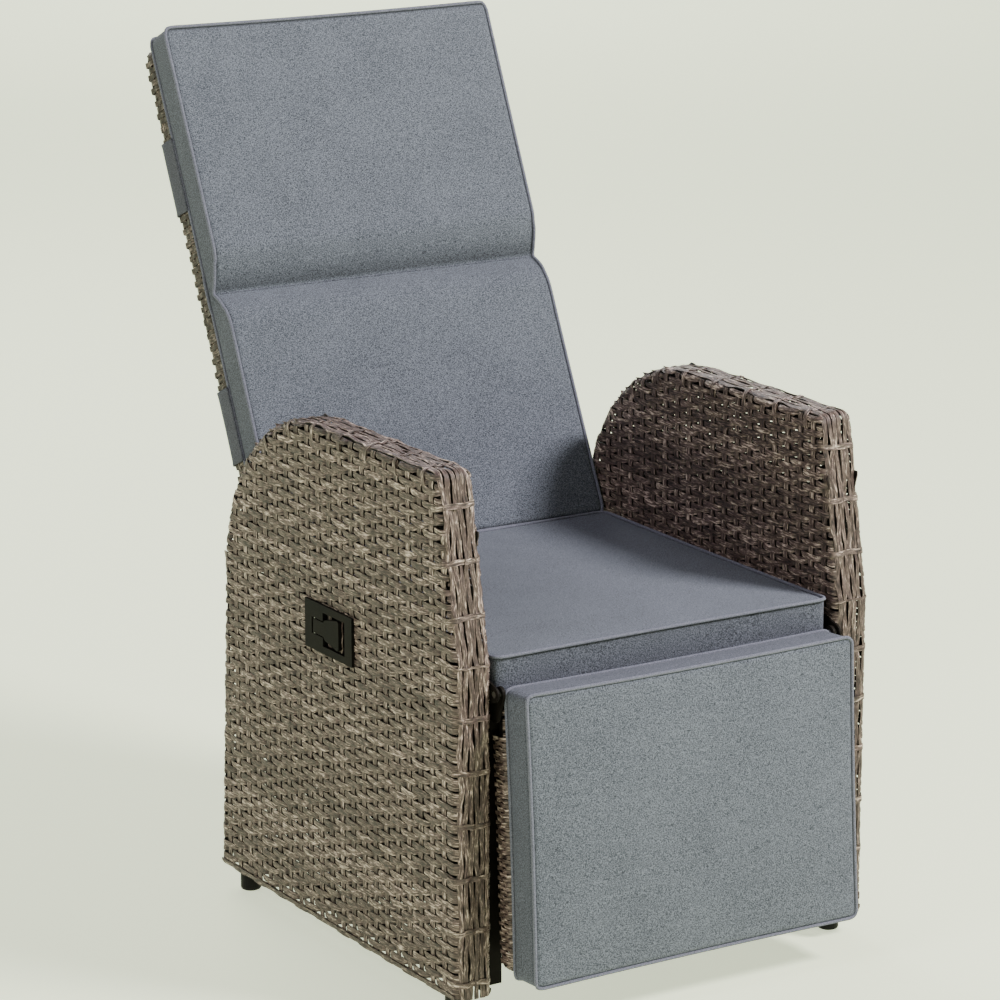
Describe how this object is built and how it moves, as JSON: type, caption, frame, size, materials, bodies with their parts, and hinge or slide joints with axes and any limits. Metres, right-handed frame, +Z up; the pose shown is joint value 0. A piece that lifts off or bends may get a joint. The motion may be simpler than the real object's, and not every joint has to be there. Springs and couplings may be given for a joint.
{
  "type": "reclining garden chair",
  "caption": "Poly-rattan recliner with woven side panels, seat, back and footrest cushions; the back reclines on a gas spring and the footrest swings up with it.",
  "frame": {"origin": "on the floor, under the middle of the bounding box", "axes": "+Z up, -Y towards the front (footrest), +X to the right seen from the front"},
  "size_m": [0.6043, 0.9594, 1.0934],
  "materials": {
    "wicker": "woven flat plastic strips, satin, taupe with lighter flecks",
    "cushion_fabric": "woven melange polyester, slate blue-grey",
    "strap_fabric": "flat woven band, slate blue-grey",
    "glide_plastic": "black, smooth",
    "handle_plastic": "black, fine grained",
    "cable_sheath": "black plastic sheath",
    "chrome": "polished piston rod",
    "zinc": "zinc-plated fasteners",
    "coated_metal": "dark brown powder coat, satin"
  },
  "bodies": {
    "base": {"outer_weave_left": "wicker", "outer_weave_right": "wicker", "inner_weave_left": "wicker", "inner_weave_right": "wicker", "edge_band_left": "wicker", "edge_band_right": "wicker", "side_frame_left": "coated_metal", "side_frame_right": "coated_metal", "foot_front_left": "glide_plastic", "foot_front_right": "glide_plastic", "foot_rear_left": "glide_plastic", "foot_rear_right": "glide_plastic", "seat_rail_left": "coated_metal", "seat_rail_right": "coated_metal", "seat_bolt_front_left": "zinc", "seat_bolt_front_right": "zinc", "seat_bolt_rear_left": "zinc", "seat_bolt_rear_right": "zinc", "hinge_bracket_left": "coated_metal", "hinge_bracket_right": "coated_metal", "footrest_pin_left": "zinc", "footrest_pin_right": "zinc", "pivot_bolt_left": "zinc", "pivot_bolt_right": "zinc", "seat_front_rail": "coated_metal", "seat_rear_rail": "coated_metal", "gas_cross_tube": "coated_metal", "seat_weave": "wicker", "seat_cushion": "cushion_fabric", "gas_rod": "chrome", "gas_pin_front": "zinc", "handle_housing": "handle_plastic", "paddle_pin": "zinc", "release_cable": "cable_sheath"},
    "back": {"back_tube_left": "coated_metal", "back_tube_right": "coated_metal", "back_lever_left": "coated_metal", "back_lever_right": "coated_metal", "back_top_rail": "coated_metal", "back_lower_rail": "coated_metal", "back_weave_front": "wicker", "back_weave_rear": "wicker", "back_edge_wrap": "wicker", "gas_lever": "coated_metal", "gas_pin_rear": "zinc", "strap_lower": "strap_fabric", "strap_upper": "strap_fabric", "back_cushion": "cushion_fabric"},
    "footrest": {"footrest_frame": "coated_metal", "footrest_weave_front": "wicker", "footrest_weave_rear": "wicker", "footrest_edge_wrap": "wicker", "footrest_hinge_left": "coated_metal", "footrest_hinge_right": "coated_metal", "footrest_cushion": "cushion_fabric"},
    "link_left": {"link_bar_left": "coated_metal"},
    "link_right": {"link_bar_right": "coated_metal"},
    "gas_spring": {"gas_cylinder": "coated_metal"},
    "paddle": {"handle_paddle": "handle_plastic"}
  },
  "joints": [
    {"name": "back_recline", "type": "hinge", "parent": "base", "child": "back", "pos_m": [0, 0.14652, 0.37706], "axis": [-1, 0, 0], "range_deg": [0, 40]},
    {"name": "footrest_swing", "type": "hinge", "parent": "base", "child": "footrest", "pos_m": [0, -0.40645, 0.407], "axis": [-1, 0, 0], "range_deg": [0, 74.6]},
    {"name": "link_left_turn", "type": "hinge", "parent": "back", "child": "link_left", "pos_m": [-0.2082, 0.18072, 0.28309], "axis": [-1, 0, 0], "range_deg": [-40.6, 0]},
    {"name": "link_right_turn", "type": "hinge", "parent": "back", "child": "link_right", "pos_m": [0.2082, 0.18072, 0.28309], "axis": [-1, 0, 0], "range_deg": [-40.6, 0]},
    {"name": "gas_spring_turn", "type": "hinge", "parent": "back", "child": "gas_spring", "pos_m": [0, 0.16704, 0.32068], "axis": [-1, 0, 0], "range_deg": [-40.2, 0]},
    {"name": "handle_pull", "type": "hinge", "parent": "base", "child": "paddle", "pos_m": [-0.3018, -0.07245, 0.418], "axis": [0, 0, -1], "range_deg": [0, 25], "stiffness_Nm_per_rad": 0.3}
  ],
  "couplings": [
    {"joint": "footrest_swing", "follows": "back_recline", "ratio": 1.86},
    {"joint": "link_left_turn", "follows": "back_recline", "ratio": -1.0112},
    {"joint": "link_right_turn", "follows": "back_recline", "ratio": -1.0112},
    {"joint": "gas_spring_turn", "follows": "back_recline", "ratio": -1}
  ]
}
